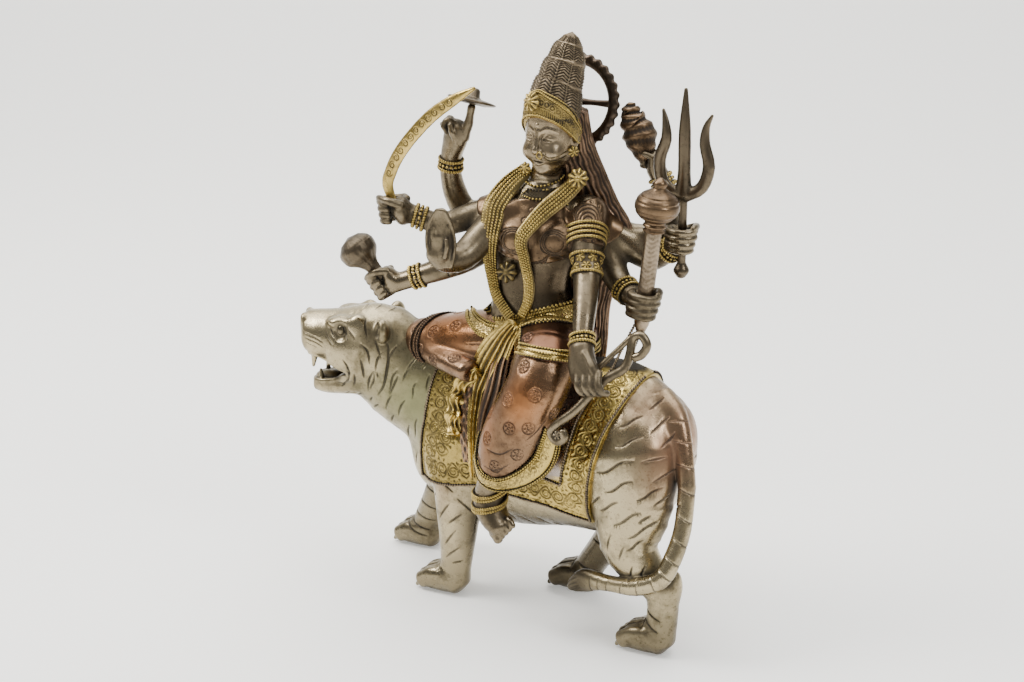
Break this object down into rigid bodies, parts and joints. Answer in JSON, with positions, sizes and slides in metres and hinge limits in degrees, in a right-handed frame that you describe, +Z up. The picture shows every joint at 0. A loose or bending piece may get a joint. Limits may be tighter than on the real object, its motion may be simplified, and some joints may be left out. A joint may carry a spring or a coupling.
{
  "type": "durga figure",
  "caption": "Cast metal goddess with raised arms, seated sideways on a walking tiger, holding a curved sword, mace and trident, with a halo wheel behind the crown.",
  "frame": {"origin": "on the ground, under the middle of the figure's box", "axes": "+Z up; the tiger walks towards -X; the rider faces -Y"},
  "size_m": [0.221, 0.0914, 0.289],
  "materials": {
    "nickel_hide": "antique nickel plate on cast brass, engraved stripes, brown and green-grey patina in the hollows",
    "dressed_figure": "nickel-grey skin, copper cloth and brass borders, rubbed bright on the high places",
    "brass_blade": "brass, engraved scrolls, dark in the cuts",
    "copper_mace": "copper-plated head on a nickel shaft, worn satin",
    "bronze_trident": "dark bronze, satin with bright edges",
    "blackened_wheel": "brown-black patinated brass, matt"
  },
  "bodies": {
    "root": {"tiger": "nickel_hide", "goddess": "dressed_figure", "sword": "brass_blade", "mace": "copper_mace", "trident": "bronze_trident", "halo_wheel": "blackened_wheel"}
  },
  "joints": []
}
